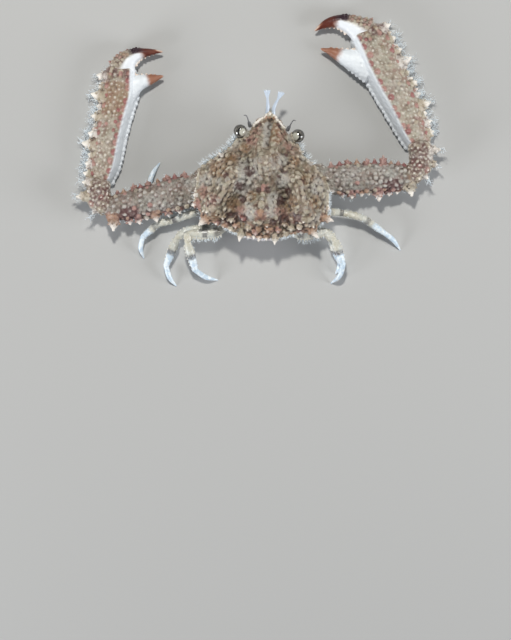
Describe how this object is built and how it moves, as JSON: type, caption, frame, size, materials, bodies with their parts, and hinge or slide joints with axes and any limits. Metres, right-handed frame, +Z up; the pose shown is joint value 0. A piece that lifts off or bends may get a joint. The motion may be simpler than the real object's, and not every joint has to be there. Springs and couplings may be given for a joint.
{
  "type": "elbow crab model",
  "caption": "Life-size elbow crab with a domed, granulate, spiny shell, long spiny claws held out and forward, and short walking legs, standing still.",
  "frame": {"origin": "on the floor under the middle of the crab's overall outline", "axes": "+X to the crab's right, along the span of the claws; +Y forward, the way the rostrum points to within about 6 degrees; +Z up"},
  "size_m": [0.0806, 0.0603, 0.0141],
  "materials": {
    "shell": "mottled tan and grey shell with cream granules and maroon spots, matte",
    "claw": "tan granulate upper face, white below, pink and red tubercles, matte",
    "finger": "white at the base, red-brown toward the tip, slightly glossy",
    "belly": "white to lavender underside, satin",
    "leg": "pale translucent blue-grey with dark bands, satin",
    "feeler": "clear blue-white feelers, satin",
    "eye": "dark glassy eye, polished"
  },
  "bodies": {
    "root": {"abdomen": "belly", "antenna_left": "feeler", "antenna_right": "feeler", "antennule_left": "feeler", "antennule_right": "feeler", "carapace": "shell", "claw_left_carpus": "claw", "claw_left_finger": "finger", "claw_left_merus": "claw", "claw_left_palm": "claw", "claw_left_root": "belly", "claw_right_carpus": "claw", "claw_right_finger": "finger", "claw_right_merus": "claw", "claw_right_palm": "claw", "claw_right_root": "belly", "eye_left": "eye", "eye_right": "eye", "leg2_left_carpus": "leg", "leg2_left_dactyl": "leg", "leg2_left_merus": "leg", "leg2_left_propodus": "leg", "leg2_right_carpus": "leg", "leg2_right_dactyl": "leg", "leg2_right_merus": "leg", "leg2_right_propodus": "leg", "leg3_left_carpus": "leg", "leg3_left_dactyl": "leg", "leg3_left_merus": "leg", "leg3_left_propodus": "leg", "leg3_right_carpus": "leg", "leg3_right_dactyl": "leg", "leg3_right_merus": "leg", "leg3_right_propodus": "leg", "leg4_left_carpus": "leg", "leg4_left_dactyl": "leg", "leg4_left_merus": "leg", "leg4_left_propodus": "leg", "leg4_right_carpus": "leg", "leg4_right_dactyl": "leg", "leg4_right_merus": "leg", "leg4_right_propodus": "leg", "leg5_left_carpus": "leg", "leg5_left_dactyl": "leg", "leg5_left_merus": "leg", "leg5_left_propodus": "leg", "leg5_right_carpus": "leg", "leg5_right_dactyl": "leg", "leg5_right_merus": "leg", "leg5_right_propodus": "leg", "maxilliped_left": "belly", "maxilliped_right": "belly", "sternum": "belly"}
  },
  "joints": []
}
